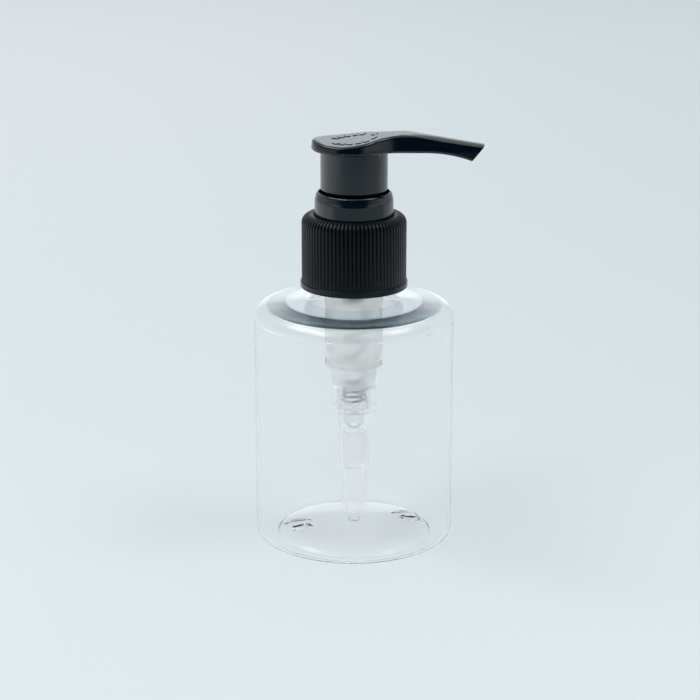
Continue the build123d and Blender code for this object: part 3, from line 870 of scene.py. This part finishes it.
def buildHead():
    head = cadNodes["actuator"].copy()
    head.data = cadNodes["actuator"].data.copy()
    head.name = "pump_head"
    scene.collection.objects.link(head)
    tidyMesh(head, crownShape["cadSmooth"])
    # level cuts round the skirt, so that its long facets shade evenly
    editing(head)
    for level in crownShape["skirtCuts"]:
        pick(head, onSkirt)
        bpy.ops.mesh.bisect(plane_co=(0, 0, level * mm), plane_no=(0, 0, 1))
    leaveEditing()

    start, end = crownShape["reach"]
    line = []
    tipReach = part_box("actuator")[1][0] / mm - crownShape["tipMargin"]
    slope = (topOfHead(tipReach) - topOfHead(tipReach - crownShape["tipRun"])) / crownShape["tipRun"]
    for step in range(crownShape["steps"] + 1):
        reach = start + (end - start) * step / crownShape["steps"]
        height = topOfHead(min(reach, tipReach)) + max(reach - tipReach, 0.0) * slope
        line.append((reach, height + graph(crownShape["lift"], reach)))
    half, drop = crownShape["halfWidth"], crownShape["drop"]
    inner = [half * step / crownShape["ribs"] for step in range(crownShape["ribs"] + 1)]
    sags = [(y, drop * (1 - math.sqrt(1 - (y / half) ** 2))) for y in inner] + [crownShape["skirt"]]
    across = [(-y, sag) for y, sag in reversed(sags[1:])] + sags
    first = across[0]
    sheet = drawWire("crown", [(x * mm, first[0] * mm, (z - first[1]) * mm) for x, z in line])
    editing(sheet)
    selectAll()
    for before, after in zip(across, across[1:]):
        step = (0, (after[0] - before[0]) * mm, (before[1] - after[1]) * mm)
        bpy.ops.mesh.extrude_edges_move(TRANSFORM_OT_translate={"value": step})
    # the crown grows from nothing at the root of the spout
    for reach, height in line:

        def atReach(place):
            return abs(place[0] - reach * mm) < pickSlack

        pick(sheet, atReach)
        share = max(graph(crownShape["share"], reach), crownShape["leastShare"])
        bpy.ops.transform.resize(value=(1, 1, share), center_override=(0, 0, height * mm))
    faceOut()
    leaveEditing()
    facesUp = sum(face.normal.z for face in sheet.data.polygons) > 0
    thick = sheet.modifiers.new("thick", "SOLIDIFY")
    thick.thickness = crownShape["thick"] * mm
    thick.offset = 1.0 if facesUp else -1.0
    applyModifier(sheet, thick)
    combine(head, sheet, "DIFFERENCE")
    tidyMesh(head, crownShape["smooth"])
    even = head.modifiers.new("even", "WEIGHTED_NORMAL")
    even.keep_sharp = True
    even.mode = "FACE_AREA_WITH_ANGLE"
    applyModifier(head, even)
    dress(head, "satin_black")
    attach(head, "plunger")
    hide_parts("actuator")
    return head


pumpHead = buildHead()
print("head crowned:", len(pumpHead.data.polygons), "faces")

# marks on the pad: plain raised bars in two rows and a turn arrow, laid on the dished top
markShape = {
    "ring": (4.9, 6.7), "steps": 6, "high": 120.0, "raise": 0.20, "sink": 0.05, "bevel": 0.05,
    "bevelSegments": 2, "smooth": 30,
    "rows": [
        {"start": 62.0, "bars": 5, "length": 13.0, "gap": 6.0},
        {"start": 212.0, "bars": 5, "length": 14.0, "gap": 6.0},
    ],
    "arrow": {"ring": (5.4, 6.0), "start": -38.0, "end": 22.0, "tip": 42.0, "head": (4.7, 6.7), "steps": 16},
}


def buildSector(inner, outer, start, end, steps):
    height = markShape["high"] * mm
    sector = drawWire("sector", [(inner * mm, 0, height), (outer * mm, 0, height)])
    editing(sector)
    spin(steps, math.radians(end - start))
    spinsBack = spunBack(sector)
    leaveEditing()
    sector.rotation_euler = (0, 0, math.radians(end if spinsBack else start))
    bpy.ops.object.transform_apply(location=True, rotation=True, scale=True)
    return sector


def buildMarks():
    pieces = []
    for row in markShape["rows"]:
        for bar in range(row["bars"]):
            start = row["start"] + bar * (row["length"] + row["gap"])
            pieces.append(buildSector(*markShape["ring"], start, start + row["length"], markShape["steps"]))
    arrow = markShape["arrow"]
    pieces.append(buildSector(*arrow["ring"], arrow["start"], arrow["end"], arrow["steps"]))
    corners = []
    middle = sum(arrow["ring"]) / 2
    for radius, angle in [(side, arrow["end"]) for side in arrow["head"]] + [(middle, arrow["tip"])]:
        turn = math.radians(angle)
        corners.append((radius * math.cos(turn) * mm, radius * math.sin(turn) * mm, markShape["high"] * mm))
    point = drawWire("arrow_point", corners)
    editing(point)
    selectAll()
    bpy.ops.mesh.edge_face_add()
    leaveEditing()
    pieces.append(point)
    marks = joinPieces(pieces, "pad_marks")
    editing(marks)
    faceOut()
    leaveEditing()
    lay = marks.modifiers.new("lay", "SHRINKWRAP")
    lay.target = cadNodes["actuator"]
    lay.wrap_method = "PROJECT"
    lay.use_project_z = True
    lay.use_negative_direction = True
    lay.use_positive_direction = False
    applyModifier(marks, lay)
    editing(marks)
    selectAll()
    bpy.ops.transform.translate(value=(0, 0, -markShape["sink"] * mm))
    bpy.ops.mesh.extrude_region_move(TRANSFORM_OT_translate={"value": (0, 0, markShape["raise"] * mm)})
    leaveEditing()
    tidyMesh(marks, markShape["smooth"])
    edge = marks.modifiers.new("edge", "BEVEL")
    edge.width = markShape["bevel"] * mm
    edge.segments = markShape["bevelSegments"]
    edge.limit_method = "ANGLE"
    applyModifier(marks, edge)
    dress(marks, "satin_black")
    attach(marks, "plunger")


buildMarks()
print("pad marked")

# closure: one rib and groove spun through its pitch, then copied all the way round
closureShape = {
    "ribs": 80, "columns": 4, "grooveDepth": 0.55, "grooveLow": 70.0, "grooveReach": 11.55,
    "pitchShare": 0.05, "segments": 8, "smooth": 28,
    "outside": [
        (12.1, 68.2, 0.15), (13.95, 68.2, 0.3), (13.95, 69.8, 0.2), (13.6, 69.8), (13.6, 87.3, 2.2),
        (10.4, 87.3, 0.2), (10.4, 85.9), (12.1, 85.9),
    ],
}


def buildClosure():
    # the section starts and ends half way up the bore
    corners = closureShape["outside"]
    bore, boreTop = corners[-1]
    middle = (bore, (corners[0][1] + boreTop) / 2)
    cap = drawSection("ribbed_closure", roundedLine([middle] + corners + [middle], closureShape["segments"]))
    pitch = 2 * math.pi / closureShape["ribs"]
    editing(cap)
    mergeAll()
    spin(closureShape["columns"], pitch)
    faceOut()
    halfPitch = Vector((math.cos(pitch / 2), math.sin(pitch / 2)))
    if spunBack(cap):
        halfPitch.y = -halfPitch.y

    def inGroove(place):
        flat = Vector(place[:2])
        onMiddle = (flat.normalized() - halfPitch).length < pitch * closureShape["pitchShare"]
        outside = flat.length > closureShape["grooveReach"] * mm
        onBore = abs(flat.length - bore * mm) < pickSlack and place[2] < boreTop * mm + pickSlack
        return onMiddle and outside and not onBore and place[2] > closureShape["grooveLow"] * mm

    pick(cap, inGroove)
    bpy.ops.transform.shrink_fatten(value=-closureShape["grooveDepth"] * mm)
    spin(closureShape["ribs"], copies=True)
    leaveEditing()
    tidyMesh(cap, closureShape["smooth"])
    dress(cap, "matt_black")
    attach(cap, "closure")
    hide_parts("closure")


buildClosure()
print("closure ribbed")

# closure thread, about half a lead off the neck's
closureThread = {"root": 12.15, "crest": 11.05, "turns": 1.75, "low": 69.75, "flank": 0.45}


def buildClosureThread():
    winding = buildThread("closure_thread", closureThread)
    dress(winding, "matt_black")
    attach(winding, "closure")


buildClosureThread()
print("threads wound")
